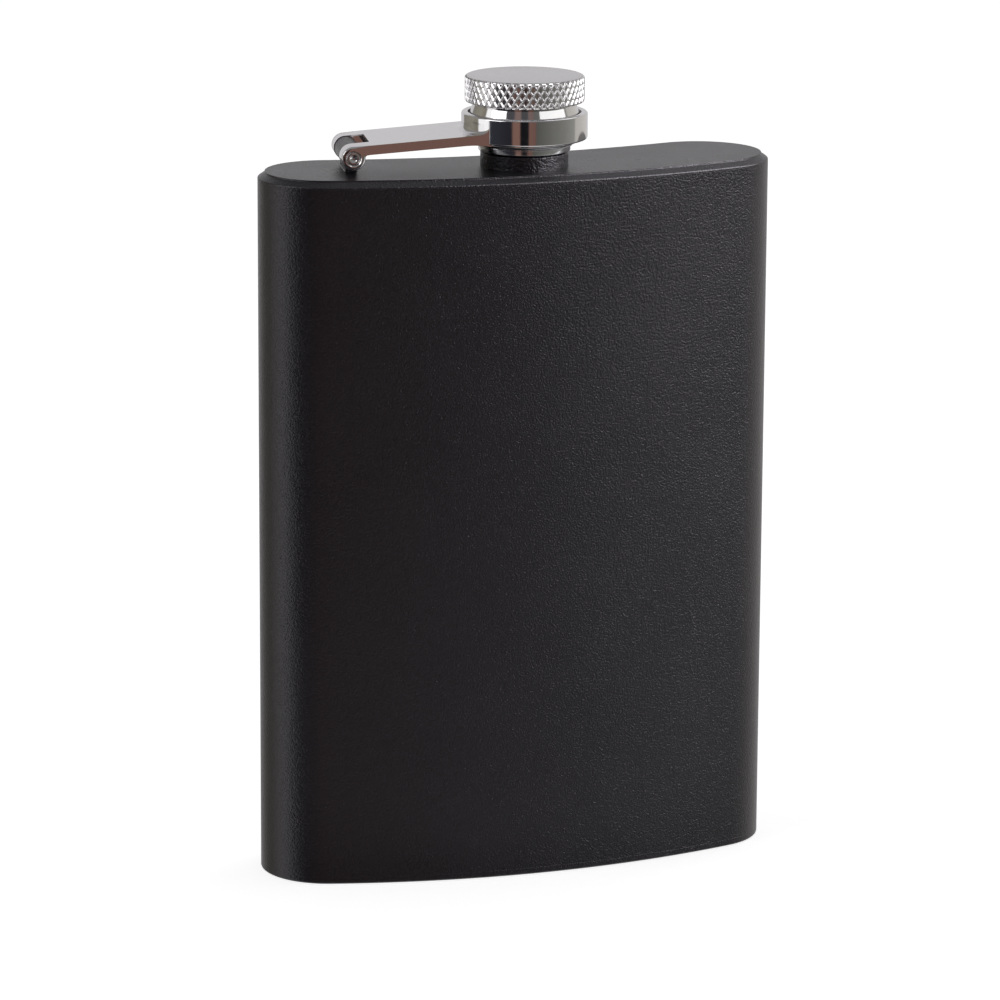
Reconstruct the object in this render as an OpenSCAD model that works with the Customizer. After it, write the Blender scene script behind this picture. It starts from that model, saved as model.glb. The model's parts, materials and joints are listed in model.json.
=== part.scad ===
/* [Body] */
// overall width of the flask body
body_w = 94; // [80:1:110]
// body thickness on the centreline
body_t = 25; // [20:0.5:32]
// height of the body without its closure
body_h = 126.3; // [100:0.1:150]
// radius of the rounded outer front face
front_r = 139; // [110:1:200]
// radius of the two narrow side ends
end_r = 12.1; // [10:0.1:12.4]
// sheet thickness of the wrapped shell
wall = 0.6; // [0.4:0.1:1.2]

/* [End plates] */
// sheet thickness of the two end plates
plate_t = 0.8; // [0.6:0.1:1.5]
// sloping edge band of the top plate, seen from above
bevel_w = 1.25; // [0.6:0.05:2.5]
// height of the sloping edge band of the top plate
bevel_h = 1.1; // [0.6:0.05:2.5]
// corner rounding of the base plate
base_edge = 0.4; // [0.2:0.05:1]

/* [Neck] */
// outside radius of the smooth neck
neck_r = 7.75; // [6.5:0.05:9]
// radius of the pouring bore
bore_r = 5.6; // [4:0.1:6]
// height of the smooth neck above the top plate
neck_smooth_h = 2.5; // [2:0.1:5]
// height of the whole neck above the top plate
neck_h = 9.9; // [8:0.1:12]
// root radius of the outside thread
male_root_r = 6.65; // [6:0.05:7]
// rise of the thread in one turn
pitch = 1.8; // [1.2:0.1:2.5]
// depth of the thread ridge
ridge_h = 0.55; // [0.3:0.05:0.8]

/* [Cap] */
// radius of the knurled head
cap_r = 10.5; // [9:0.1:14]
// height of the cap's top face above the base
cap_top_z = 142.2; // [130:0.1:170]
// height of the knurled head
head_h = 4.6; // [3:0.1:8]
// radius of the smooth stem where it passes the collar's lip
stem_r = 8.9; // [8.5:0.05:9.1]
// radius of the stem's wider part under the head
shoulder_r = 9.55; // [9.2:0.05:9.8]
// outside radius of the threaded sleeve
sleeve_r = 8.1; // [7.8:0.05:8.3]
// number of knurl diamonds around the head
knurl_n = 50; // [30:2:70]
// depth of the knurl
knurl_d = 0.28; // [0.1:0.02:0.5]

/* [Captive arm] */
// outside radius of the arm's collar
collar_r = 11.1; // [10.5:0.1:13]
// inside radius of the collar
collar_in_r = 9.95; // [9.6:0.05:10.5]
// height of the collar
collar_h = 4.7; // [3.5:0.1:6]
// bottom of the collar above the top plate
collar_gap = 4.85; // [4:0.05:7]
// width of the flat bar
bar_w = 16.5; // [8:0.5:18]
// thickness of the flat bar
bar_t = 1.65; // [1.2:0.05:2.5]
// slope of the bar, rising to the collar
bar_tilt = 4.3; // [0:0.1:8]

/* [Hinge] */
// distance of the hinge to the left of the neck
hinge_x = 30.5; // [26:0.5:36]
// distance of the hinge behind the neck
hinge_y = 5.8; // [0:0.1:8]
// height of the hinge pin above the top plate
hinge_h = 2.9; // [2.5:0.1:5]
// radius of the arm's round ears
ear_r = 2.1; // [2:0.05:3]
// width of the lug between the ears
lug_w = 8; // [5:0.1:10]
// Thickness of the lug's foot, from the hinge side to the neck side
lug_foot = 2.9; // [2:0.1:4]
// radius of the hinge pin
pin_r = 1.2; // [0.8:0.05:1.5]

/* [Hidden] */
$fn = 96;

// plan of the body: four arcs, each tangent to its neighbours
end_x = body_w / 2 - end_r;
front_rise = front_r - sqrt(pow(front_r - end_r, 2) - end_x * end_x);
end_to_front = front_rise;
end_to_back = body_t - end_to_front;
back_r = (end_x * end_x + end_to_back * end_to_back - end_r * end_r) / (2 * (end_r - end_to_back));
overall_d = end_to_front + end_r;
// the frame's origin is the middle of the overall depth
front_y = -overall_d / 2;
back_y = front_y + body_t;
end_y = front_y + end_to_front;
front_c = front_y + front_r;
back_c = back_y + back_r;
front_a = atan2(end_x, front_c - end_y);
back_a = atan2(end_x, back_c - end_y);

neck_y = front_y + body_t / 2;
seam_z = body_h - bevel_h - 0.35;
foot_z = base_edge + plate_t;
shoulder_z = body_h + neck_smooth_h;
neck_top_z = body_h + neck_h;
head_z = cap_top_z - head_h;
collar_z = body_h + collar_gap;
collar_top_z = collar_z + collar_h;
lip_z = collar_z + 2.15;
ring_z = collar_z - 0.85;
ring_t = 0.75;
ring_r = 9.6;
stem_z = ring_z + ring_t + 0.15;
sleeve_z = shoulder_z + 0.25;
female_tip_r = male_root_r + 0.25;
female_root_r = female_tip_r + ridge_h;
gasket_z = neck_top_z + 0.08;
gasket_t = 1.0;

hinge_z = body_h + hinge_h;
arm_turn = atan2(hinge_y, hinge_x);
arm_l = sqrt(hinge_x * hinge_x + hinge_y * hinge_y);
slot_w = lug_w + 0.5;
slot_end = 3.3;
web_z = ear_r + (arm_l - collar_r - 1.3) * tan(bar_tilt) - 0.25;

// ---- shared shapes ----

// points of the body's plan, its outline moved in by a given distance
function plan(inset, n = 18) =
    let (fr = front_r - inset, br = back_r + inset, er = end_r - inset,
        first = -90 + front_a, sweep = 180 + back_a - front_a)
    concat([for (i = [-n : n]) let (a = front_a * i / n) [fr * sin(a), front_c - fr * cos(a)]],
        [for (i = [1 : n - 1]) let (a = first + sweep * i / n)
            [end_x + er * cos(a), end_y + er * sin(a)]],
        [for (i = [-n : n]) let (a = back_a * i / n) [-br * sin(a), back_c - br * cos(a)]],
        [for (i = [n - 1 : -1 : 1]) let (a = first + sweep * i / n)
            [-end_x - er * cos(a), end_y + er * sin(a)]]);

// solid through the body's plan at rising levels, each an inset and a height
module plan_solid(levels) {
    rings = [for (l = levels) [for (q = plan(l[0])) [q[0], q[1], l[1]]]];
    m = len(rings[0]);
    k = len(levels) - 1;
    sides = [for (b = [0 : k - 1], a = [0 : m - 1]) let (c = (a + 1) % m)
        each [[b * m + a, b * m + m + a, b * m + c], [b * m + m + a, b * m + m + c, b * m + c]]];
    bottom = [for (a = [0 : m - 1]) a];
    top = [for (a = [m - 1 : -1 : 0]) k * m + a];
    polyhedron(points = [for (r = rings) each r], faces = concat([bottom, top], sides));
}

// helical ridge: root radius, height (minus for an inward ridge), first and last turn
module thread_ridge(root, h, z0, turns) {
    n = 32;
    steps = round(turns * n);
    side = h > 0 ? 1 : -1;
    function grow(i) = min(1, i / 6, (steps - i) / 6);
    function ring(i) = let (a = 360 * i / n, z = z0 + pitch * i / n, g = max(0.02, grow(i)),
            crest = root + h * g, foot = root - side * 0.08)
        [for (q = [[foot, -0.5], [crest, -0.14], [crest, 0.14], [foot, 0.5]])
            [q[0] * cos(a), q[0] * sin(a), z + q[1]]];
    points = [for (i = [0 : steps]) each ring(i)];
    walls = [for (i = [0 : steps - 1], k = [0 : 3]) let (p = 4 * i + k, q = 4 * i + (k + 1) % 4)
        each [[p, q, p + 4], [q, q + 4, p + 4]]];
    ends = [[0, 3, 2], [0, 2, 1], [4 * steps, 4 * steps + 1, 4 * steps + 2],
        [4 * steps, 4 * steps + 2, 4 * steps + 3]];
    flip = side > 0 ? concat(walls, ends) : [for (f = concat(walls, ends)) [f[2], f[1], f[0]]];
    polyhedron(points = points, faces = flip);
}

// diamond knurl as a closed ring: raised crossing ridges round small pyramid pits
module knurl_ring(r_in, z0, h, rows) {
    n = 2 * knurl_n;
    m = rows + 1;
    function pt(r, a, z) = [r * cos(a), r * sin(a), z];
    grid = [for (b = [0 : rows], a = [0 : n - 1])
        pt(cap_r - ((a + b) % 2 == 0 ? knurl_d : 0), 360 * a / n, z0 + h * b / rows)];
    inner = [for (b = [0, 1], a = [0 : n - 1]) pt(r_in, 360 * a / n, z0 + h * b)];
    function id(a, b) = b * n + a % n;
    skin = [for (b = [0 : rows - 1], a = [0 : n - 1])
        let (p = id(a, b), q = id(a + 1, b), u = id(a, b + 1), v = id(a + 1, b + 1))
        each ((a + b) % 2 == 0 ? [[p, u, q], [q, u, v]] : [[p, v, q], [p, u, v]])];
    base = m * n;
    lid = [for (a = [0 : n - 1]) let (c = (a + 1) % n)
        each [[a, c, base + a], [c, base + c, base + a],
            [rows * n + a, base + n + a, rows * n + c], [rows * n + c, base + n + a, base + n + c],
            [base + a, base + c, base + n + a], [base + c, base + n + c, base + n + a]]];
    polyhedron(points = concat(grid, inner), faces = concat(skin, lid));
}

module in_arm() {
    translate([-hinge_x, neck_y + hinge_y, hinge_z]) rotate([0, 0, -arm_turn]) children();
}

module at_neck() {
    translate([0, neck_y, 0]) children();
}

// ---- body ----

module body_shell() {
    color([0.1, 0.1, 0.11]) difference() {
        translate([0, 0, foot_z]) linear_extrude(seam_z - foot_z) polygon(plan(0));
        linear_extrude(body_h) polygon(plan(wall));
    }
}

module top_plate() {
    top = body_h;
    color([0.12, 0.12, 0.13]) difference() {
        plan_solid([[0, seam_z], [0, top - bevel_h], [0.07, top - bevel_h + 0.15],
            [bevel_w - 0.2, top - 0.13], [bevel_w, top - 0.03], [bevel_w + 0.25, top]]);
        plan_solid([[0.9, seam_z - 1], [0.9, seam_z], [bevel_w + 0.3, top - plate_t]]);
        at_neck() cylinder(r = neck_r, h = 200);
    }
}

module bottom_plate() {
    e = base_edge;
    color([0.12, 0.12, 0.13]) difference() {
        plan_solid([[e, 0], [e * 0.3, e * 0.3], [0, e], [0, foot_z]]);
        plan_solid([[1.2, plate_t], [0.9, foot_z], [0.9, foot_z + 1]]);
    }
}

module neck() {
    under = body_h - plate_t;
    color([0.14, 0.14, 0.15]) at_neck() difference() {
        union() {
            rotate_extrude() polygon([[0, under - 0.8], [9.4, under - 0.8], [9.4, under],
                [neck_r, under], [neck_r, body_h], [neck_r + 0.6, body_h], [neck_r + 0.12, body_h + 0.2],
                [neck_r, body_h + 0.6], [neck_r, shoulder_z - 0.15], [neck_r - 0.15, shoulder_z],
                [male_root_r, shoulder_z], [male_root_r, neck_top_z - 0.35],
                [male_root_r - 0.3, neck_top_z], [0, neck_top_z]]);
            thread_ridge(male_root_r, ridge_h, shoulder_z + 1.0, 3.1);
        }
        translate([0, 0, under - 2]) cylinder(r = bore_r, h = 20);
    }
}

module hinge_lug() {
    color([0.14, 0.14, 0.15]) in_arm() difference() {
        union() {
            rotate([90, 0, 0]) cylinder(r = ear_r - 0.1, h = lug_w, center = true);
            translate([-lug_foot / 2, -lug_w / 2, -hinge_h])
                cube([lug_foot, lug_w, hinge_h]);
        }
        rotate([90, 0, 0]) cylinder(r = pin_r, h = lug_w + 2, center = true);
    }
}

module hinge_pin() {
    l = bar_w - 0.3;
    color([0.75, 0.76, 0.78]) in_arm() difference() {
        rotate([90, 0, 0]) cylinder(r = pin_r, h = l, center = true);
        for (s = [-1, 1]) translate([0, s * (l / 2 + 0.55), 0]) sphere(r = 1.05);
    }
}

// ---- captive arm ----

module captive_arm() {
    color([0.8, 0.81, 0.83]) {
        in_arm() difference() {
            union() {
                rotate([0, -bar_tilt, 0]) translate([0, 0, ear_r - bar_t]) linear_extrude(bar_t)
                    polygon([[0, -bar_w / 2], [17.5, -bar_w / 2], [19.5, -bar_w / 2 - 0.35],
                        [21.5, -bar_w / 2 - 1.3], [24.5, -bar_w / 2], [24.5, bar_w / 2],
                        [21.5, bar_w / 2 + 1.3], [19.5, bar_w / 2 + 0.35], [17.5, bar_w / 2],
                        [0, bar_w / 2]]);
                rotate([90, 0, 0]) cylinder(r = ear_r, h = bar_w, center = true);
                intersection() {
                    translate([arm_l, 0, web_z]) cylinder(r1 = collar_r + 1.3, r2 = collar_r, h = 1.5);
                    translate([15, -bar_w / 2 - 0.6, web_z]) cube([10, bar_w + 1.2, 3]);
                }
            }
            rotate([90, 0, 0]) cylinder(r = pin_r + 0.05, h = bar_w + 2, center = true);
            translate([-5, -slot_w / 2, -5]) cube([5 + slot_end, slot_w, 10]);
            translate([arm_l, 0, -10]) cylinder(r = collar_in_r + 0.2, h = 20);
        }
        at_neck() rotate_extrude() {
            polygon([[collar_in_r, collar_z], [collar_r - 0.35, collar_z], [collar_r, collar_z + 0.35],
                [collar_r, collar_top_z - 0.45], [collar_r - 0.12, collar_top_z - 0.14],
                [collar_r - 0.45, collar_top_z], [collar_in_r + 0.2, collar_top_z],
                [collar_in_r, collar_top_z - 0.2], [collar_in_r, lip_z + 1.1],
                [stem_r + 0.25, lip_z + 0.9], [stem_r + 0.25, lip_z + 0.1], [collar_in_r, lip_z]]);
        }
    }
}

// ---- cap ----

module cap_shell() {
    color([0.72, 0.71, 0.72]) at_neck() {
        rotate_extrude() polygon([[0, cap_top_z], [cap_r - 0.5, cap_top_z],
            [cap_r - 0.36, cap_top_z - 0.06], [cap_r - 0.36, head_z + 0.1], [cap_r - 0.5, head_z],
            [shoulder_r, head_z], [shoulder_r, lip_z + 1.45], [stem_r, lip_z + 1.3],
            [stem_r, stem_z], [sleeve_r, stem_z],
            [sleeve_r, gasket_z + gasket_t], [0, gasket_z + gasket_t]]);
        knurl_ring(cap_r - 0.8, head_z + 0.12, head_h - 0.28, 3);
    }
}

module thread_sleeve() {
    color([0.66, 0.67, 0.69]) at_neck() {
        rotate_extrude() polygon([[female_root_r, sleeve_z + 0.25], [female_root_r + 0.15, sleeve_z],
            [sleeve_r - 0.1, sleeve_z], [sleeve_r, sleeve_z + 0.1], [sleeve_r, ring_z - 0.45],
            [sleeve_r + 0.3, ring_z - 0.35], [sleeve_r + 0.3, ring_z - 0.1], [sleeve_r, ring_z - 0.1],
            [sleeve_r, gasket_z], [female_root_r, gasket_z]]);
        thread_ridge(female_root_r, -ridge_h, shoulder_z + 1.0 + pitch / 2, 2.9);
    }
}

module cap_gasket() {
    color([0.85, 0.84, 0.8]) at_neck()
        translate([0, 0, gasket_z]) cylinder(r = sleeve_r, h = gasket_t);
}

module retaining_ring() {
    hole_r = sleeve_r + 0.25;
    color([0.7, 0.71, 0.73]) at_neck() rotate_extrude()
        polygon([[hole_r, ring_z], [ring_r - 0.9, ring_z], [ring_r, ring_z + ring_t - 0.3],
            [ring_r, ring_z + ring_t], [hole_r, ring_z + ring_t]]);
}

body_shell();
top_plate();
bottom_plate();
neck();
hinge_lug();
hinge_pin();
captive_arm();
cap_shell();
thread_sleeve();
cap_gasket();
retaining_ring();
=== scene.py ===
import json
import math

import bmesh
import bpy
from mathutils import Matrix, Vector


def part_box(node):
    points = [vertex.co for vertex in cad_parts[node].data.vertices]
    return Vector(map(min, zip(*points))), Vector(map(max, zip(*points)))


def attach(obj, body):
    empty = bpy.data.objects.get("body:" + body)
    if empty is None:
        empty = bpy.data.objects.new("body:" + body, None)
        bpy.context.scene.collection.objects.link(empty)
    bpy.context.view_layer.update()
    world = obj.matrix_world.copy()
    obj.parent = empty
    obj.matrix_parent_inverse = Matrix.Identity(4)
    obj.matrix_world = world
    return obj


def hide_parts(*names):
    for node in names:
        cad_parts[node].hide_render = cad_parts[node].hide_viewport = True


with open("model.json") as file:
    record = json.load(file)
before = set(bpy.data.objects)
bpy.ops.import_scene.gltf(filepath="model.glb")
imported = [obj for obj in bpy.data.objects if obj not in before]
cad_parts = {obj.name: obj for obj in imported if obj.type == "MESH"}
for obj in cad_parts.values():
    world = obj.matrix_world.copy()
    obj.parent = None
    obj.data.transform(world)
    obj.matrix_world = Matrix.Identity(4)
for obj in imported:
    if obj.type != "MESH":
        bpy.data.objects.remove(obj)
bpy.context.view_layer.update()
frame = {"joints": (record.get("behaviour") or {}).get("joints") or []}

# ---- sizes: millimetres, in the frame of the CAD ----

MM = 0.001


def box_mm(node):
    """Lowest and highest corner of a CAD node, in millimetres."""
    low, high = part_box(node)
    return Vector(low) / MM, Vector(high) / MM


shell_low, shell_high = box_mm("body_shell")
plate_low, plate_high = box_mm("top_plate")
neck_low, neck_high = box_mm("neck")
cap_low, cap_high = box_mm("cap_shell")
sleeve_low = box_mm("thread_sleeve")[0]
gasket_low, gasket_high = box_mm("cap_gasket")
ring_low, ring_high = box_mm("retaining_ring")
arm_high = box_mm("captive_arm")[1]
swing = next(j for j in frame["joints"] if j["name"] == "arm_swing")

BODY_W = shell_high.x - shell_low.x
BODY_T = 25.0
FRONT_R = 139.0
END_R = 12.1
WALL = 0.6
PLATE_T = 0.8
BEVEL_W = 1.25
BEVEL_H = 1.1
BASE_EDGE = 0.4
SHEET_EDGE = BEVEL_W + 2.2
TOP_Z = plate_high.z
SEAM_Z = plate_low.z
FOOT_Z = shell_low.z

NECK_Y = (neck_low.y + neck_high.y) / 2
NECK_R = 7.75
BORE_R = 5.6
NECK_TOP = neck_high.z
SHOULDER_Z = sleeve_low.z - 0.25
MALE_ROOT_R = 6.65
THREAD_Z = SHOULDER_Z + 1.0
PITCH = 1.8
NECK_TURNS = 3.1
SLEEVE_TURNS = 2.9
RIDGE_H = 0.55
FEMALE_ROOT_R = MALE_ROOT_R + 0.25 + RIDGE_H

CAP_R = 10.5
CAP_TOP = cap_high.z
HEAD_H = 4.6
HEAD_Z = CAP_TOP - HEAD_H
STEM_R = 8.9
STEM_Z = cap_low.z
SHOULDER_R = 9.55
SLEEVE_R = 8.1
KNURL_N = 50
KNURL_ROWS = 2.0
KNURL_D = 0.28
KNURL_W = 0.11
KNURL_LOW = HEAD_Z + 0.12
KNURL_HIGH = CAP_TOP - 0.16

COLLAR_R = 11.1
COLLAR_IN_R = 9.95
COLLAR_TOP = arm_high.z
COLLAR_H = 4.7
COLLAR_Z = COLLAR_TOP - COLLAR_H
LIP_Z = COLLAR_Z + 2.15

BAR_W = 16.5
BAR_T = 1.65
BAR_TILT = math.radians(4.3)
HINGE = Vector(swing["pos_m"]) / MM
EAR_R = 2.1
LUG_W = 8.0
SLOT_W = LUG_W + 0.5
SLOT_END = 3.3
PIN_R = 1.2
PIN_L = BAR_W - 0.3

# ---- mesh helpers ----


def make_piece(name, points, faces, look, body, nodes=(), sharp=50, flat=False):
    """One closed mesh in millimetres, smooth except at edges over the sharp angle. It rides on a body and
    stands in for the CAD nodes named. look is a material and a slot name; the slot name is not used."""
    material, slot = look
    mesh = bpy.data.meshes.new(name)
    mesh.from_pydata([Vector(p) * MM for p in points], [], faces)
    bm = bmesh.new()
    bm.from_mesh(mesh)
    bmesh.ops.remove_doubles(bm, verts=bm.verts, dist=1e-7)
    bmesh.ops.recalc_face_normals(bm, faces=bm.faces)
    bm.to_mesh(mesh)
    bm.free()
    mesh.shade_smooth()
    mesh.set_sharp_from_angle(angle=math.radians(sharp))
    mesh.materials.append(material)
    obj = bpy.data.objects.new(name, mesh)
    bpy.context.scene.collection.objects.link(obj)
    if flat:
        # long flat faces keep their own direction, and only the narrow ones between them turn
        weighted = obj.modifiers.new("flat faces", "WEIGHTED_NORMAL")
        weighted.weight = 100
        weighted.keep_sharp = True
    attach(obj, body)
    if nodes:
        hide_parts(*nodes)
    return obj


def join_parts(*parts):
    """Several (points, faces) lists as one."""
    points, faces = [], []
    for more_points, more_faces in parts:
        start = len(points)
        points += more_points
        faces += [[i + start for i in f] for f in more_faces]
    return points, faces


def rounded(corners, steps=4):
    """A closed outline of (x, y, radius) corners, each corner with a radius turned into an arc."""
    out = []
    n = len(corners)
    for i, (x, y, r) in enumerate(corners):
        here = Vector((x, y))
        back = Vector(corners[i - 1][:2]) - here
        ahead = Vector(corners[(i + 1) % n][:2]) - here
        turn = back.angle(ahead, 0)
        if r <= 0 or turn < 0.01 or turn > math.pi - 0.01:
            out.append((x, y))
            continue
        cut = r / math.tan(turn / 2)
        limit = 0.49 * min(back.length, ahead.length)
        if cut > limit:
            r, cut = r * limit / cut, limit
        centre = here + (back.normalized() + ahead.normalized()).normalized() * (r / math.sin(turn / 2))
        a0 = here + back.normalized() * cut - centre
        a1 = here + ahead.normalized() * cut - centre
        sweep = a0.angle_signed(a1)
        for k in range(steps + 1):
            out.append(tuple(centre + Matrix.Rotation(-sweep * k / steps, 2) @ a0))
    return out


def revolve(profile, columns, centre=(0.0, 0.0), push=None):
    """A closed (radius, height) profile turned round an upright axis. push(angle, radius, height) is
    added to the radius."""
    points, faces = [], []
    n = len(profile)
    for c in range(columns):
        a = 2 * math.pi * c / columns
        for r, z in profile:
            radius = r + (push(a, r, z) if push else 0.0)
            points.append((centre[0] + radius * math.cos(a), centre[1] + radius * math.sin(a), z))
    for c in range(columns):
        d = (c + 1) % columns
        for k in range(n):
            m = (k + 1) % n
            if profile[k][0] == 0 and profile[m][0] == 0:
                continue
            faces.append([c * n + k, d * n + k, d * n + m, c * n + m])
    return points, faces


# ---- the body's plan: four arcs, each tangent to its neighbours ----

END_X = BODY_W / 2 - END_R
FRONT_Y = shell_low.y
RISE = FRONT_R - math.sqrt((FRONT_R - END_R) ** 2 - END_X**2)
DROP = BODY_T - RISE
BACK_R = (END_X**2 + DROP**2 - END_R**2) / (2 * (END_R - DROP))
END_Y = FRONT_Y + RISE
FRONT_C = FRONT_Y + FRONT_R
BACK_C = FRONT_Y + BODY_T + BACK_R
FRONT_A = math.atan2(END_X, FRONT_C - END_Y)
BACK_A = math.atan2(END_X, BACK_C - END_Y)


def plan(inset, n=40):
    """Points round the plan, its outline moved in by inset."""
    out = []
    sweep = math.pi + BACK_A - FRONT_A
    for i in range(-n, n + 1):
        a = FRONT_A * i / n
        out.append(((FRONT_R - inset) * math.sin(a), FRONT_C - (FRONT_R - inset) * math.cos(a)))
    ends = []
    for i in range(1, n):
        a = -math.pi / 2 + FRONT_A + sweep * i / n
        ends.append((END_X + (END_R - inset) * math.cos(a), END_Y + (END_R - inset) * math.sin(a)))
    out += ends
    for i in range(-n, n + 1):
        a = BACK_A * i / n
        out.append((-(BACK_R + inset) * math.sin(a), BACK_C - (BACK_R + inset) * math.cos(a)))
    out += [(-x, y) for x, y in reversed(ends)]
    return out


def loft(levels, closed=False):
    """Rings of the plan at (inset, height) levels, joined in order."""
    points, faces = [], []
    for inset, z in levels:
        points += [(x, y, z) for x, y in plan(inset)]
    m = len(points) // len(levels)
    last = len(levels) if closed else len(levels) - 1
    for k in range(last):
        a, b = k * m, ((k + 1) % len(levels)) * m
        faces += [[a + i, a + (i + 1) % m, b + (i + 1) % m, b + i] for i in range(m)]
    return points, faces


def sheet_with_hole(inset, z, hole_r, rings=10):
    """A flat sheet inside the plan, with an optional round hole at the neck, as rings that shrink from
    the outline to the hole or to the middle line."""
    outer = plan(inset)
    m = len(outer)
    points, faces = [], []
    for k in range(rings + 1):
        t = k / rings
        for x, y in outer:
            if hole_r:
                away = Vector((x, y - NECK_Y))
                end = away.normalized() * hole_r + Vector((0, NECK_Y))
            else:
                end = Vector((max(-END_X, min(END_X, x)), 0))
                end.y = (FRONT_C + BACK_C) / 2 - math.sqrt(((FRONT_R + BACK_R) / 2) ** 2 - end.x**2)
            points.append((x + (end.x - x) * t, y + (end.y - y) * t, z))
    for k in range(rings):
        a, b = k * m, (k + 1) * m
        faces += [[a + i, a + (i + 1) % m, b + (i + 1) % m, b + i] for i in range(m)]
    return points, faces


# ---- materials ----


def new_material(name, color, metallic, roughness):
    """A Principled material. Returns it with its node tree and shader."""
    mat = bpy.data.materials.new(name)
    mat.use_nodes = True
    tree = mat.node_tree
    shader = tree.nodes["Principled BSDF"]
    shader.inputs["Base Color"].default_value = (*color, 1)
    shader.inputs["Metallic"].default_value = metallic
    shader.inputs["Roughness"].default_value = roughness
    return mat, tree, shader


def noise_node(tree, scale, detail=2.0, roughness=0.5, stretch=(1, 1, 1)):
    """Noise in the object's own coordinates. scale is in features per metre."""
    coords = tree.nodes.new("ShaderNodeTexCoord")
    mapping = tree.nodes.new("ShaderNodeMapping")
    mapping.inputs["Scale"].default_value = stretch
    node = tree.nodes.new("ShaderNodeTexNoise")
    node.inputs["Scale"].default_value = scale
    node.inputs["Detail"].default_value = detail
    node.inputs["Roughness"].default_value = roughness
    tree.links.new(coords.outputs["Object"], mapping.inputs["Vector"])
    tree.links.new(mapping.outputs["Vector"], node.inputs["Vector"])
    return node


def ramp_node(tree, source, stops):
    """A colour ramp of (position, colour) stops fed by source."""
    ramp = tree.nodes.new("ShaderNodeValToRGB")
    ramp.color_ramp.elements[0].position = stops[0][0]
    ramp.color_ramp.elements[0].color = (*stops[0][1], 1)
    ramp.color_ramp.elements[1].position = stops[-1][0]
    ramp.color_ramp.elements[1].color = (*stops[-1][1], 1)
    for position, color in stops[1:-1]:
        ramp.color_ramp.elements.new(position).color = (*color, 1)
    tree.links.new(source, ramp.inputs["Fac"])
    return ramp


def range_node(tree, source, low, high):
    """Maps a 0 to 1 value to low to high."""
    node = tree.nodes.new("ShaderNodeMapRange")
    node.inputs["From Min"].default_value = 0.3
    node.inputs["From Max"].default_value = 0.7
    node.inputs["To Min"].default_value = low
    node.inputs["To Max"].default_value = high
    tree.links.new(source, node.inputs["Value"])
    return node


def add_bump(tree, shader, sources, strength, depth_mm):
    """Bump from the sum of height sources, each a (socket, share) pair."""
    total = None
    for socket, share in sources:
        scaled = tree.nodes.new("ShaderNodeMath")
        scaled.operation = "MULTIPLY_ADD"
        scaled.inputs[1].default_value = share
        tree.links.new(socket, scaled.inputs[0])
        if total is None:
            scaled.inputs[2].default_value = 0.0
        else:
            tree.links.new(total, scaled.inputs[2])
        total = scaled.outputs[0]
    bump = tree.nodes.new("ShaderNodeBump")
    bump.inputs["Strength"].default_value = strength
    bump.inputs["Distance"].default_value = depth_mm * MM
    tree.links.new(total, bump.inputs["Height"])
    tree.links.new(bump.outputs["Normal"], shader.inputs["Normal"])


def powder_coat(name, dark, light, depth_mm, scale=2900):
    """Fine pebbled powder coat: two sizes of grain, and a little change in colour and gloss."""
    mat, tree, shader = new_material(name, dark, 0.0, 0.5)
    shader.inputs["IOR"].default_value = 1.6
    shader.inputs["Specular Tint"].default_value = (0.97, 0.92, 1.0, 1)
    grain = noise_node(tree, scale, 1.5, 0.55)
    fine = noise_node(tree, scale * 2.4, 1.0, 0.5)
    patch = noise_node(tree, 60, 3.0, 0.6)
    ramp = ramp_node(tree, grain.outputs["Fac"], [(0.35, dark), (0.68, light)])
    tree.links.new(ramp.outputs["Color"], shader.inputs["Base Color"])
    rough = range_node(tree, patch.outputs["Fac"], 0.27, 0.31)
    tree.links.new(rough.outputs["Result"], shader.inputs["Roughness"])
    add_bump(tree, shader, [(grain.outputs["Fac"], 1.0), (fine.outputs["Fac"], 0.4)], 1.0, depth_mm)
    return mat


def polished(name, color, low, high):
    """Polished plate with faint casting ripple and fine wear."""
    mat, tree, shader = new_material(name, color, 1.0, low)
    wear = noise_node(tree, 900, 4.0, 0.6)
    ripple = noise_node(tree, 260, 1.0, 0.4)
    rough = range_node(tree, wear.outputs["Fac"], low, high)
    tree.links.new(rough.outputs["Result"], shader.inputs["Roughness"])
    ramp = ramp_node(tree, wear.outputs["Fac"], [(0.3, tuple(c * 0.96 for c in color)), (0.7, color)])
    tree.links.new(ramp.outputs["Color"], shader.inputs["Base Color"])
    add_bump(tree, shader, [(ripple.outputs["Fac"], 1.0), (wear.outputs["Fac"], 0.05)], 0.35, 0.02)
    return mat


def satin(name, color, roughness):
    """Satin metal with a fine grain."""
    mat, tree, shader = new_material(name, color, 1.0, roughness)
    grain = noise_node(tree, 4200, 2.0, 0.5)
    patch = noise_node(tree, 180, 3.0, 0.6)
    rough = range_node(tree, grain.outputs["Fac"], roughness * 0.8, roughness * 1.2)
    tree.links.new(rough.outputs["Result"], shader.inputs["Roughness"])
    ramp = ramp_node(tree, patch.outputs["Fac"], [(0.3, tuple(c * 0.95 for c in color)), (0.7, color)])
    tree.links.new(ramp.outputs["Color"], shader.inputs["Base Color"])
    add_bump(tree, shader, [(grain.outputs["Fac"], 1.0)], 0.6, 0.012)
    return mat


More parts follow.
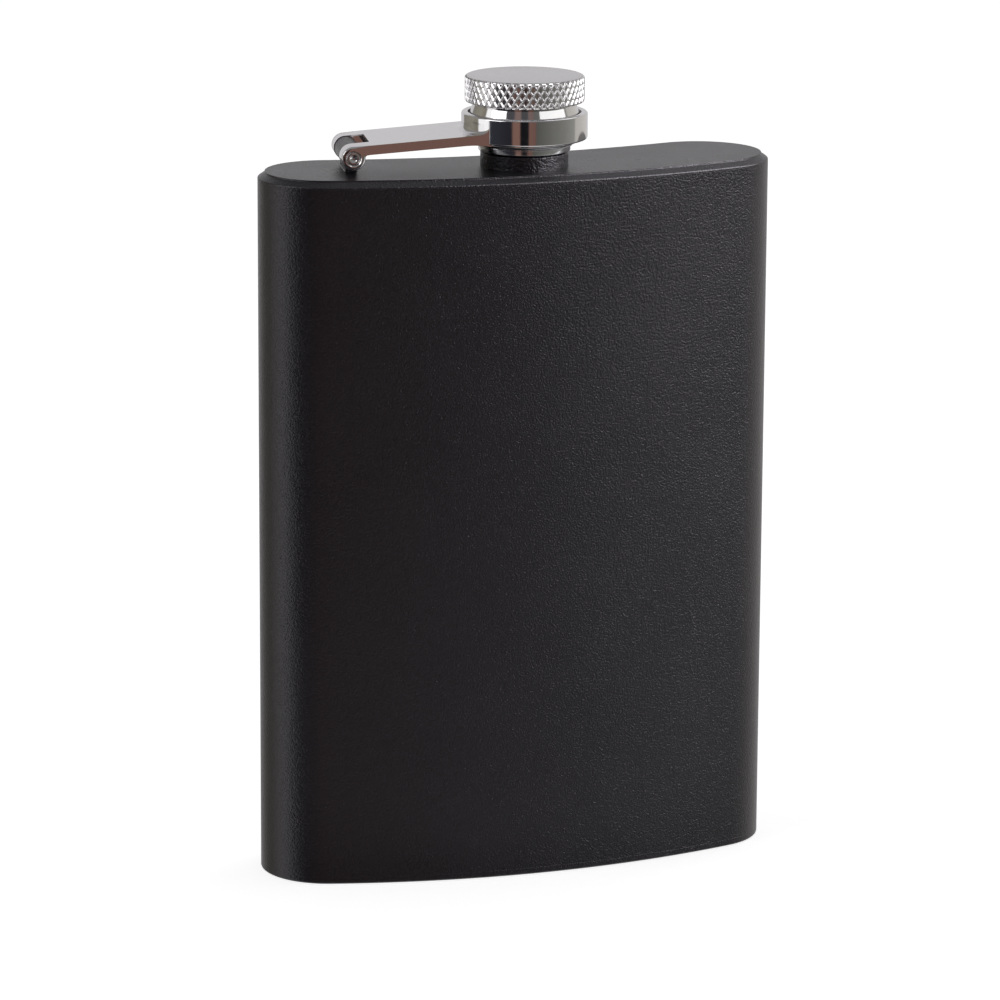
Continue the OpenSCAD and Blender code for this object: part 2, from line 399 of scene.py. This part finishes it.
def turned(name, color, roughness):
    """Turned metal: rings of fine tool marks along the axis."""
    mat, tree, shader = new_material(name, color, 1.0, roughness)
    marks = noise_node(tree, 900, 2.0, 0.5, (0.05, 0.05, 6))
    rough = range_node(tree, marks.outputs["Fac"], roughness * 0.7, roughness * 1.2)
    tree.links.new(rough.outputs["Result"], shader.inputs["Roughness"])
    ramp = ramp_node(tree, marks.outputs["Fac"], [(0.3, tuple(c * 0.93 for c in color)), (0.7, color)])
    tree.links.new(ramp.outputs["Color"], shader.inputs["Base Color"])
    add_bump(tree, shader, [(marks.outputs["Fac"], 1.0)], 0.4, 0.004)
    return mat


def silicone(name, color):
    """Translucent white sealing rubber."""
    mat, tree, shader = new_material(name, color, 0.0, 0.5)
    dust = noise_node(tree, 700, 3.0, 0.6)
    ramp = ramp_node(tree, dust.outputs["Fac"], [(0.3, tuple(c * 0.92 for c in color)), (0.7, color)])
    tree.links.new(ramp.outputs["Color"], shader.inputs["Base Color"])
    rough = range_node(tree, dust.outputs["Fac"], 0.42, 0.58)
    tree.links.new(rough.outputs["Result"], shader.inputs["Roughness"])
    shader.inputs["Subsurface Weight"].default_value = 0.1
    shader.inputs["Subsurface Radius"].default_value = (0.001, 0.001, 0.001)
    return mat


plate_finish = polished("polished_plate", (0.80, 0.79, 0.80), 0.05, 0.10)
body_coat = powder_coat("powder_coat", (0.002, 0.002, 0.0028), (0.005, 0.0047, 0.0064), 0.09)
fitting_coat = powder_coat("coated_fitting", (0.003, 0.003, 0.004), (0.008, 0.008, 0.010), 0.13)
neck_coat = powder_coat("coated_neck", (0.003, 0.003, 0.004), (0.010, 0.009, 0.013), 0.2, 1900)

# a look is a material and the slot that it belongs to
BLACK = (body_coat, "powder_coat")
COATED = (fitting_coat, "coated_fitting")
CAST = (neck_coat, "coated_fitting")
CHROME = (plate_finish, "polished_arm")
CHROME_STEM = (plate_finish, "knurled_steel")
CHROME_RING = (plate_finish, "machined_steel")
KNURLED = (satin("knurled_steel", (0.70, 0.69, 0.70), 0.22), "knurled_steel")
MACHINED = (turned("machined_steel", (0.74, 0.74, 0.76), 0.16), "machined_steel")
RUBBER = (silicone("white_silicone", (0.78, 0.77, 0.74)), "silicone")

# ---- body ----


def build_shell():
    """Wrapped tube between the two plates."""
    levels = rounded([(0, FOOT_Z, 0.02), (0, SEAM_Z, 0.02), (WALL, SEAM_Z, 0), (WALL, FOOT_Z, 0)])
    points, faces = loft(levels, closed=True)
    return make_piece("shell_skin", points, faces, BLACK, "flask", ["body_shell"], flat=True)


def build_top_plate():
    """Pressed plate: flat top, a sloping band with soft edges, and the neck hole."""
    under = TOP_Z - PLATE_T
    band = rounded(
        [
            (0.9, SEAM_Z, 0),
            (0.0, SEAM_Z, 0.02),
            (0.0, TOP_Z - BEVEL_H, 0.85),
            (BEVEL_W - 0.03, TOP_Z - 0.28, 0.12),
            (BEVEL_W, TOP_Z, 0.04),
            (SHEET_EDGE, TOP_Z, 0),
            (SHEET_EDGE, under, 0),
            (BEVEL_W + 0.3, under, 0.5),
        ],
        6,
    )
    # the open ends of the band meet the two flat sheets
    split = next(i for i, p in enumerate(band) if abs(p[0] - SHEET_EDGE) < 1e-6)
    parts = [
        loft(band[split + 1 :] + band[: split + 1]),
        sheet_with_hole(SHEET_EDGE, TOP_Z, NECK_R),
        sheet_with_hole(SHEET_EDGE, under, NECK_R),
    ]
    points, faces = join_parts(*parts)
    return make_piece("top_plate_skin", points, faces, BLACK, "flask", ["top_plate"], flat=True)


def build_bottom_plate():
    """Pressed base: flat underside with a small edge radius."""
    levels = rounded(
        [
            (SHEET_EDGE, 0, 0),
            (0, 0, BASE_EDGE),
            (0, FOOT_Z, 0.02),
            (0.9, FOOT_Z, 0),
            (1.2, PLATE_T, 0),
            (SHEET_EDGE, PLATE_T, 0),
        ],
        6,
    )
    parts = [
        loft(levels),
        sheet_with_hole(SHEET_EDGE, 0, 0),
        sheet_with_hole(SHEET_EDGE, PLATE_T, 0),
    ]
    points, faces = join_parts(*parts)
    return make_piece("bottom_plate_skin", points, faces, BLACK, "flask", ["bottom_plate"], flat=True)


def ridge(angle, height, first_z, turns):
    """Height of a helical thread ridge at an angle and a height along its axis."""
    best = 0.0
    whole = round((height - first_z) / PITCH - angle / (2 * math.pi))
    for k in (whole - 1, whole, whole + 1):
        turn = angle / (2 * math.pi) + k
        if not 0 <= turn <= turns:
            continue
        away = abs(height - first_z - PITCH * turn)
        grow = min(1.0, turn * 5.3, (turns - turn) * 5.3)
        best = max(best, grow * RIDGE_H * max(0.0, min(1.0, (0.5 - away) / 0.36)))
    return best


def fine_levels(low, high, step=0.09):
    """Evenly spaced heights from low to high."""
    n = max(2, round((high - low) / step))
    return [low + (high - low) * i / n for i in range(n + 1)]


def build_neck():
    """Spout with a flange under the plate, a smooth lower part and an outside thread."""
    under = TOP_Z - PLATE_T
    flange_z = under - 0.8
    flange_r = 9.4
    neck_hole = NECK_R - 0.3
    lower = rounded(
        [
            (BORE_R, flange_z, 0),
            (flange_r, flange_z, 0.1),
            (flange_r, under, 0),
            (neck_hole, under, 0),
            (neck_hole, TOP_Z - 0.02, 0),
            (NECK_R, TOP_Z - 0.02, 0),
            (NECK_R, SHOULDER_Z, 0.25),
            (MALE_ROOT_R, SHOULDER_Z, 0),
        ],
        5,
    )
    thread = [(MALE_ROOT_R, z) for z in fine_levels(SHOULDER_Z + 0.05, NECK_TOP - 0.4)]
    top = [
        (MALE_ROOT_R - 0.1, NECK_TOP - 0.12),
        (MALE_ROOT_R - 0.3, NECK_TOP),
        (BORE_R + 0.2, NECK_TOP),
        (BORE_R, NECK_TOP - 0.2),
    ]

    def push(a, r, z):
        on_thread = r == MALE_ROOT_R and z > SHOULDER_Z + 0.04
        return ridge(a, z, THREAD_Z, NECK_TURNS) if on_thread else 0.0

    points, faces = revolve(lower + thread + top, 144, (0, NECK_Y), push)
    return make_piece("neck_spout", points, faces, CAST, "flask", ["neck"], flat=True)


# ---- hinge ----

OUT = Vector(swing["axis"]).normalized()
ALONG = Vector((-OUT.y, OUT.x, 0))


def arm_frame(point):
    """From the hinge's own frame (along the bar, out along the pin, up) to the flask's."""
    x, y, z = point
    return HINGE + ALONG * x + OUT * y + Vector((0, 0, z))


def prism(outline, half):
    """An upright outline in the (along, up) plane, swept along the pin by half to each side."""
    n = len(outline)
    points = [(x, s * half, z) for s in (-1, 1) for x, z in outline]
    faces = [list(range(n)), list(range(n, 2 * n))]
    faces += [[i, (i + 1) % n, n + (i + 1) % n, n + i] for i in range(n)]
    return points, faces


def soften(obj, width_mm, segments=3, angle=35):
    """Rounds the piece's hard edges."""
    bevel = obj.modifiers.new("edges", "BEVEL")
    bevel.width = width_mm * MM
    bevel.segments = segments
    bevel.limit_method = "ANGLE"
    bevel.angle_limit = math.radians(angle)
    bevel.harden_normals = True
    return obj


def arc(radius, first, last, steps, centre=(0, 0)):
    """Points on an arc between two angles in degrees."""
    out = []
    for i in range(steps + 1):
        a = math.radians(first + (last - first) * i / steps)
        out.append((centre[0] + radius * math.cos(a), centre[1] + radius * math.sin(a)))
    return out


def build_lug():
    """A barrel on a narrower foot, welded to the plate."""
    r = EAR_R - 0.1
    foot = 1.0
    weld = 0.3
    base = TOP_Z - HINGE.z - 0.02
    start = -math.degrees(math.acos(foot / r))
    outline = arc(r, start, 180 - start, 30)
    outline += arc(weld, 0, -90, 5, (-foot - weld, base + weld))
    outline += arc(weld, -90, -180, 5, (foot + weld, base + weld))
    points, faces = prism(outline, LUG_W / 2)
    obj = make_piece("hinge_knuckle", [arm_frame(p) for p in points], faces, COATED, "flask",
                     ["hinge_lug"], 40)
    return soften(obj, 0.22)


def build_pin():
    """Plain pin with a dimple in each end."""
    half = PIN_L / 2
    profile = [
        (0.0, -half + 0.4),
        (0.35, -half + 0.34),
        (0.62, -half + 0.08),
        (0.75, -half),
        (PIN_R - 0.15, -half + 0.03),
        (PIN_R, -half + 0.18),
    ]
    profile += [(r, -h) for r, h in reversed(profile)]
    points, faces = revolve(profile, 40)
    turned_points = [arm_frame((x, z, y)) for x, y, z in points]
    return make_piece("pivot_pin", turned_points, faces, CHROME, "flask", ["hinge_pin"], 40)


# ---- captive arm ----


def tilt(x, z):
    """From the bar's own slope to the hinge frame."""
    along = x * math.cos(BAR_TILT) - z * math.sin(BAR_TILT)
    up = x * math.sin(BAR_TILT) + z * math.cos(BAR_TILT)
    return (along, up)


def bar_height(along, level):
    """Height above the pin, at a distance along from it, of a line level above the bar's middle line."""
    return (along + level * math.sin(BAR_TILT)) * math.tan(BAR_TILT) + level * math.cos(BAR_TILT)


def ear_outline():
    """Side view of an ear from the slot's end at the top, round the pin, to the slot's end below."""
    low = EAR_R - BAR_T
    meet = math.degrees(math.asin(low / EAR_R))
    line = [(SLOT_END, EAR_R), (2.2, EAR_R), (1.1, EAR_R)]
    line += arc(EAR_R, 90, 350 + meet, 40)
    line += [(EAR_R + 0.1, low - 0.17), (EAR_R + 0.32, low - 0.04), (EAR_R + 0.65, low), (SLOT_END, low)]
    return [tilt(x, z) for x, z in line]


def ear_face(start, n, hole_start, holes):
    """An ear's outer face as two halves either side of the pin hole."""
    top, bottom = 3, 3 + 26
    outer = [start + i for i in range(n)]
    inner = [hole_start + i for i in range(holes)]
    half = holes // 2
    left = outer[top : bottom + 1] + inner[: half + 1][::-1]
    right = outer[bottom:] + outer[: top + 1] + [inner[0]] + inner[half:][::-1]
    return [left, right]


def bar_mesh():
    """Bar and two round ears as one closed mesh, in the hinge frame. The bar's end follows the collar,
    and its top rises into the collar in a small hollow curve."""
    low = EAR_R - BAR_T
    reach = math.hypot(HINGE.x, HINGE.y - NECK_Y)
    fillet = 1.15
    head = ear_outline()
    n = len(head)
    holes = 26
    side = BAR_W / 2
    inner = SLOT_W / 2
    # full outline at the slot, then the outer edge rounded off: inset and depth of each line
    edge = [(0.0, 0.4), (0.05, 0.2), (0.17, 0.06), (0.4, 0.0)]
    fade = [min(1.0, i / 3, (n - 1 - i) / 6) for i in range(n)]
    points, faces = [], []
    for sign in (-1, 1):
        start = len(points)
        points += [(x, sign * inner, z) for x, z in head]
        for inset, deep in edge:
            for (x, z), w in zip(head, fade):
                keep = 1 - w * inset / math.hypot(x, z)
                points.append((x * keep, sign * (side - w * deep), z * keep))
        for k in range(len(edge)):
            p, q = start + k * n, start + (k + 1) * n
            faces += [[p + i, p + i + 1, q + i + 1, q + i] for i in range(n - 1)]
        faces.append(list(range(start, start + n)))
        first = len(points)
        for r, y in [(PIN_R + 0.2, side), (PIN_R + 0.05, side - 0.15), (PIN_R + 0.05, side - 0.6)]:
            for x, z in arc(r, 90, 90 + 360 * (holes - 1) / holes, holes - 1):
                u, v = tilt(x, z)
                points.append((u, sign * y, v))
        faces += ear_face(start + len(edge) * n, n, first, holes)
        for k in (0, 1):
            p, q = first + k * holes, first + (k + 1) * holes
            faces += [[p + i, p + (i + 1) % holes, q + (i + 1) % holes, q + i] for i in range(holes)]
        faces.append([first + 2 * holes + i for i in range(holes)])

    columns = [-1, -0.66, -0.33, 0, 0.33, 0.66, 1]
    across = [-side] + [c * inner for c in columns] + [side]
    gaps = [3.6, 2.9, 2.3, 1.8, 1.4] + [fillet * (1 - math.sin(math.radians(a))) for a in range(0, 90, 9)]
    gaps += [-0.3]
    rows = []
    for along in (SLOT_END, 8.0, 13.0):
        rows.append([(tilt(along, EAR_R)[0], tilt(along, low)[0], y, 9.0) for y in across])
    for gap in gaps:
        row = []
        for y in across:
            flare = 0.04 * max(0.0, 1 - gap / 2.0) ** 2
            y += math.copysign(flare, y) if abs(y) > inner + 0.1 else 0
            x = reach - math.sqrt((COLLAR_R + gap) ** 2 - y * y)
            row.append((x, x, y, gap))
        rows.append(row)
    start = len(points)
    for row in rows:
        for x_top, x_low, y, gap in row:
            near = max(0.0, min(fillet, fillet - gap))
            rise = fillet - math.sqrt(max(0.0, fillet**2 - near**2))
            sink = 0.45 * max(0.0, 1 - gap / 3.0) ** 2
            points.append((x_top, y, bar_height(x_top, EAR_R) + rise))
            points.append((x_low, y, bar_height(x_low, low) - sink))
    m = len(across)
    for k in range(len(rows) - 1):
        a, b = start + 2 * m * k, start + 2 * m * (k + 1)
        for i in range(m - 1):
            faces.append([a + 2 * i, a + 2 * i + 2, b + 2 * i + 2, b + 2 * i])
            faces.append([a + 2 * i + 1, a + 2 * i + 3, b + 2 * i + 3, b + 2 * i + 1])
        for i in (0, m - 1):
            faces.append([a + 2 * i, a + 2 * i + 1, b + 2 * i + 1, b + 2 * i])
    last = start + 2 * m * (len(rows) - 1)
    faces += [[last + 2 * i, last + 2 * i + 1, last + 2 * i + 3, last + 2 * i + 2] for i in range(m - 1)]
    over = [start + 2 * i for i in range(1, m - 1)]
    under = [start + 2 * i + 1 for i in reversed(range(1, m - 1))]
    faces.append(over + under)
    return points, faces


def build_arm_bar():
    """The arm's forked bar, with its hard edges rounded."""
    points, faces = bar_mesh()
    obj = make_piece("arm_bar", [arm_frame(p) for p in points], faces, CHROME, "arm", ["captive_arm"], 40)
    return soften(obj, 0.26, 4, 42)


def build_arm_collar():
    """The arm's collar, with the inner lip that holds the cap's stem."""
    lip_r = STEM_R + 0.25
    profile = rounded(
        [
            (COLLAR_IN_R, COLLAR_Z, 0.1),
            (COLLAR_R, COLLAR_Z, 0.35),
            (COLLAR_R, COLLAR_TOP, 0.42),
            (COLLAR_IN_R, COLLAR_TOP, 0.15),
            (COLLAR_IN_R, LIP_Z + 1.1, 0),
            (lip_r, LIP_Z + 0.9, 0.1),
            (lip_r, LIP_Z + 0.1, 0.1),
            (COLLAR_IN_R, LIP_Z, 0),
        ],
        6,
    )
    points, faces = revolve(profile, 160, (0, NECK_Y))
    return make_piece("arm_collar", points, faces, CHROME, "arm", flat=True)


# ---- cap ----


def knurl_ridge(a, z):
    """1 on the crossing ridges of the knurl, falling to 0 in the pits between them."""
    height = KNURL_HIGH - KNURL_LOW
    pitch = 2 * math.pi * CAP_R / KNURL_N
    slant = math.cos(math.atan(pitch * KNURL_ROWS / height))
    u = KNURL_N * a / (2 * math.pi)
    v = KNURL_ROWS * (z - KNURL_LOW) / height
    away = min(0.5 - abs(((u + v) % 1.0) - 0.5), 0.5 - abs(((u - v) % 1.0) - 0.5))
    return math.exp(-((away * pitch * slant / KNURL_W) ** 2))


def build_head():
    """Knurled head: a round block with chamfered rims, its side pushed in between the knurl's ridges."""
    under = HEAD_Z + 0.2
    recess = SHOULDER_R - 1
    profile = [(0.0, CAP_TOP), (0.0, under), (recess, under), (recess, HEAD_Z)]
    profile += [(CAP_R - 0.42, HEAD_Z), (CAP_R - 0.3, HEAD_Z + 0.03)]
    profile += [(CAP_R, z) for z in fine_levels(KNURL_LOW, KNURL_HIGH, 0.075)]
    profile += [(CAP_R - 0.3, CAP_TOP - 0.07), (CAP_R - 0.42, CAP_TOP - 0.02), (CAP_R - 0.6, CAP_TOP)]

    def push(a, r, z):
        if r != CAP_R:
            return 0.0
        edge = min(1.0, (z - KNURL_LOW) / 0.25 + 0.3, (KNURL_HIGH - z) / 0.25 + 0.3)
        return -KNURL_D * (1 - knurl_ridge(a, z)) - 0.14 * (1 - edge)

    points, faces = revolve(profile, KNURL_N * 20, (0, NECK_Y), push)
    return make_piece("cap_head", points, faces, KNURLED, "cap", ["cap_shell"])


def build_stem():
    """Smooth stem under the head: narrow where it passes the collar's lip, wider above it."""
    profile = rounded(
        [
            (SLEEVE_R, HEAD_Z + 0.1, 0),
            (SLEEVE_R, STEM_Z, 0.05),
            (STEM_R, STEM_Z, 0.15),
            (STEM_R, LIP_Z + 1.3, 0),
            (SHOULDER_R, LIP_Z + 1.45, 0.1),
            (SHOULDER_R, COLLAR_TOP - 0.1, 0.3),
            (STEM_R, HEAD_Z + 0.1, 0),
        ],
        4,
    )
    points, faces = revolve(profile, 160, (0, NECK_Y))
    return make_piece("cap_stem", points, faces, CHROME_STEM, "cap", flat=True)


def build_sleeve():
    """Pressed insert: an inside thread half a pitch off the neck's, and a bead that holds the ring."""
    start = THREAD_Z + PITCH / 2
    z0 = sleeve_low.z
    z1 = gasket_low.z
    bead = ring_low.z
    bead_r = SLEEVE_R + 0.3
    inner = [(FEMALE_ROOT_R, z) for z in reversed(fine_levels(z0 + 0.25, z1))]
    profile = inner + rounded(
        [
            (FEMALE_ROOT_R + 0.15, z0, 0),
            (SLEEVE_R, z0, 0.15),
            (SLEEVE_R, bead - 0.45, 0),
            (bead_r, bead - 0.35, 0.05),
            (bead_r, bead - 0.1, 0.05),
            (SLEEVE_R, bead - 0.1, 0),
            (SLEEVE_R - 0.02, z1, 0),
        ],
        3,
    )

    def push(a, r, z):
        return -ridge(a, z, start, SLEEVE_TURNS) if r == FEMALE_ROOT_R else 0.0

    points, faces = revolve(profile, 144, (0, NECK_Y), push)
    return make_piece("cap_sleeve", points, faces, MACHINED, "cap", ["thread_sleeve"])


def build_gasket():
    """Soft disc that the neck's rim seals against."""
    low = gasket_low.z
    high = gasket_high.z
    rim = SLEEVE_R - 0.02
    profile = rounded([(0, low, 0), (rim, low, 0.2), (rim, high, 0), (0, high, 0)])
    points, faces = revolve(profile, 96, (0, NECK_Y))
    return make_piece("sealing_disc", points, faces, RUBBER, "cap", ["cap_gasket"], 40)


def build_ring():
    """Loose ring under the collar that keeps the cap in the arm."""
    low = ring_low.z
    high = ring_high.z
    inner = SLEEVE_R + 0.25
    outer = ring_high.x
    profile = rounded(
        [
            (inner, low, 0.05),
            (outer - 0.9, low, 0.1),
            (outer, high - 0.3, 0.2),
            (outer, high, 0.1),
            (inner, high, 0.05),
        ],
        4,
    )
    points, faces = revolve(profile, 128, (0, NECK_Y))
    return make_piece("keeper_ring", points, faces, CHROME_RING, "clip", ["retaining_ring"], flat=True)


build_shell()
build_top_plate()
build_bottom_plate()
build_neck()
build_lug()
build_pin()
build_arm_bar()
build_arm_collar()
build_head()
build_stem()
build_sleeve()
build_gasket()
build_ring()

# ---- floor, light and camera: metres ----

CAMERA_PLACE = Vector((-0.2970, -0.8502, 0.2781))
CAMERA_AIM = Vector((-0.0032, 0.0007, 0.0654))
CAMERA_ROLL = math.radians(0.315)
CAMERA_LENS = 186.5
LIGHT_AIM = (0, 0, 0.1)

# what stands round the flask and shows in its metal: azimuth in degrees from straight in front,
# positive to the right, and colour
ROOM = [
    (-180, (0.62, 0.61, 0.62)),
    (-166, (0.62, 0.61, 0.62)),
    (-161, (0.22, 0.21, 0.18)),
    (-128, (0.30, 0.28, 0.23)),
    (-113, (0.22, 0.20, 0.16)),
    (-110, (1.15, 1.15, 1.15)),
    (-88, (1.15, 1.15, 1.15)),
    (-85, (0.035, 0.037, 0.045)),
    (-43, (0.020, 0.020, 0.026)),
    (-39, (0.22, 0.125, 0.10)),
    (-28, (0.22, 0.125, 0.10)),
    (-26, (0.008, 0.008, 0.010)),
    (-12, (0.012, 0.012, 0.014)),
    (-10, (0.19, 0.108, 0.086)),
    (1, (0.17, 0.095, 0.076)),
    (3, (0.10, 0.10, 0.09)),
    (60, (0.22, 0.22, 0.20)),
    (84, (0.30, 0.30, 0.28)),
    (88, (0.52, 0.50, 0.46)),
    (125, (0.62, 0.60, 0.57)),
    (140, (0.62, 0.61, 0.62)),
    (180, (0.62, 0.61, 0.62)),
]
CEILING = (0.24, 0.24, 0.25)
TABLE = (0.95, 0.95, 0.95)


def build_floor():
    """A pale sheet under and behind the flask. It glows a little, so it reads as the studio's white."""
    mat, tree, shader = new_material("pale_floor", (0.9, 0.9, 0.9), 0.0, 0.9)
    shader.inputs["Specular IOR Level"].default_value = 0.0
    shader.inputs["Emission Color"].default_value = (1, 1, 1, 1)
    shader.inputs["Emission Strength"].default_value = 0.72
    mesh = bpy.data.meshes.new("floor")
    half = 3.0
    corners = [(-half, -half, 0), (half, -half, 0), (half, half, 0), (-half, half, 0)]
    mesh.from_pydata(corners, [], [[0, 1, 2, 3]])
    mesh.materials.append(mat)
    obj = bpy.data.objects.new("floor", mesh)
    bpy.context.scene.collection.objects.link(obj)
    obj.visible_glossy = False


def area_light(name, place, aim, width, height, power, *pieces):
    """A soft rectangular light at place, facing aim, in metres and watts. It lights only the pieces
    named, or everything."""
    data = bpy.data.lights.new(name, "AREA")
    data.shape = "RECTANGLE"
    data.size = width
    data.size_y = height
    data.energy = power
    obj = bpy.data.objects.new(name, data)
    obj.location = place
    obj.rotation_euler = (Vector(aim) - Vector(place)).to_track_quat("-Z", "Y").to_euler()
    bpy.context.scene.collection.objects.link(obj)
    if pieces:
        lit = bpy.data.collections.new(name + "_lights")
        for piece in pieces:
            lit.objects.link(bpy.data.objects[piece])
        obj.light_linking.receiver_collection = lit
    return obj


def build_lights():
    """Soft boxes over and beside the flask, and one each that only the cap and its stem mirror."""
    coated = ("shell_skin", "top_plate_skin", "bottom_plate_skin", "neck_spout", "hinge_knuckle")
    area_light("overhead", (0.75, 0.15, 1.15), LIGHT_AIM, 0.9, 0.9, 1.8)
    area_light("right_box", (1.61, -1.09, 1.22), LIGHT_AIM, 2.1, 1.9, 85, *coated)
    area_light("cap_box", (0.15, -0.75, 0.75), (0, 0, 0.13), 1.3, 0.5, 6.5, "cap_head")
    card = area_light("stem_card", (0.60, -0.53, 0.48), (0, 0, 0.137), 1.0, 0.32, 1.0, "cap_stem")
    card.visible_camera = False
    area_light("left_box", (-1.3, -0.25, 0.85), LIGHT_AIM, 0.9, 0.7, 3.2)
    # the white table in front, as the lower part of the body mirrors it
    table = area_light("table_glow", (0.03, -0.15, 0.001), (0.03, -0.15, 1), 0.5, 0.25, 0.04)
    table.visible_camera = False


def world_range(tree, source, first, last):
    """How far a world value has gone from first to last, from 0 to 1."""
    node = tree.nodes.new("ShaderNodeMapRange")
    node.inputs["From Min"].default_value = first
    node.inputs["From Max"].default_value = last
    tree.links.new(source, node.inputs["Value"])
    return node.outputs["Result"]


def fade_to(tree, factor, start, color):
    """A colour socket that fades to a plain colour as factor rises."""
    node = tree.nodes.new("ShaderNodeMix")
    node.data_type = "RGBA"
    tree.links.new(factor, node.inputs["Factor"])
    tree.links.new(start, node.inputs[6])
    node.inputs[7].default_value = (*color, 1)
    return node.outputs[2]


def world_azimuth(tree, split):
    """Azimuth of a direction from straight in front, in radians."""
    flip = tree.nodes.new("ShaderNodeMath")
    flip.operation = "MULTIPLY"
    flip.inputs[1].default_value = -1.0
    tree.links.new(split.outputs["Y"], flip.inputs[0])
    around = tree.nodes.new("ShaderNodeMath")
    around.operation = "ARCTAN2"
    tree.links.new(split.outputs["X"], around.inputs[0])
    tree.links.new(flip.outputs[0], around.inputs[1])
    return around.outputs[0]


def build_world():
    """The room by azimuth, under a dim ceiling and over a white table. The camera sees plain white."""
    world = bpy.data.worlds.new("studio")
    bpy.context.scene.world = world
    world.use_nodes = True
    tree = world.node_tree
    back = tree.nodes["Background"]
    coords = tree.nodes.new("ShaderNodeTexCoord")
    split = tree.nodes.new("ShaderNodeSeparateXYZ")
    tree.links.new(coords.outputs["Generated"], split.inputs["Vector"])
    turn = world_range(tree, world_azimuth(tree, split), -math.pi, math.pi)
    stops = [((azimuth + 180) / 360, color) for azimuth, color in ROOM]
    room = ramp_node(tree, turn, stops).outputs["Color"]
    up = split.outputs["Z"]
    room = fade_to(tree, world_range(tree, up, -0.6, -0.85), room, TABLE)
    room = fade_to(tree, world_range(tree, up, 0.35, 0.75), room, CEILING)
    path = tree.nodes.new("ShaderNodeLightPath")
    room = fade_to(tree, path.outputs["Is Camera Ray"], room, (1, 1, 1))
    tree.links.new(room, back.inputs["Color"])
    back.inputs["Strength"].default_value = 1.0


def build_camera():
    """A long lens from the front left, a little above the flask."""
    data = bpy.data.cameras.new("camera")
    data.sensor_width = 36
    data.lens = CAMERA_LENS
    data.clip_start = 0.05
    data.clip_end = 50
    turn = (CAMERA_AIM - CAMERA_PLACE).to_track_quat("-Z", "Y").to_matrix()
    look = turn @ Matrix.Rotation(CAMERA_ROLL, 3, "Z")
    obj = bpy.data.objects.new("camera", data)
    obj.matrix_world = Matrix.Translation(CAMERA_PLACE) @ look.to_4x4()
    bpy.context.scene.collection.objects.link(obj)
    bpy.context.scene.camera = obj


build_floor()
build_world()
build_lights()
build_camera()
bpy.context.scene.view_settings.view_transform = "Standard"
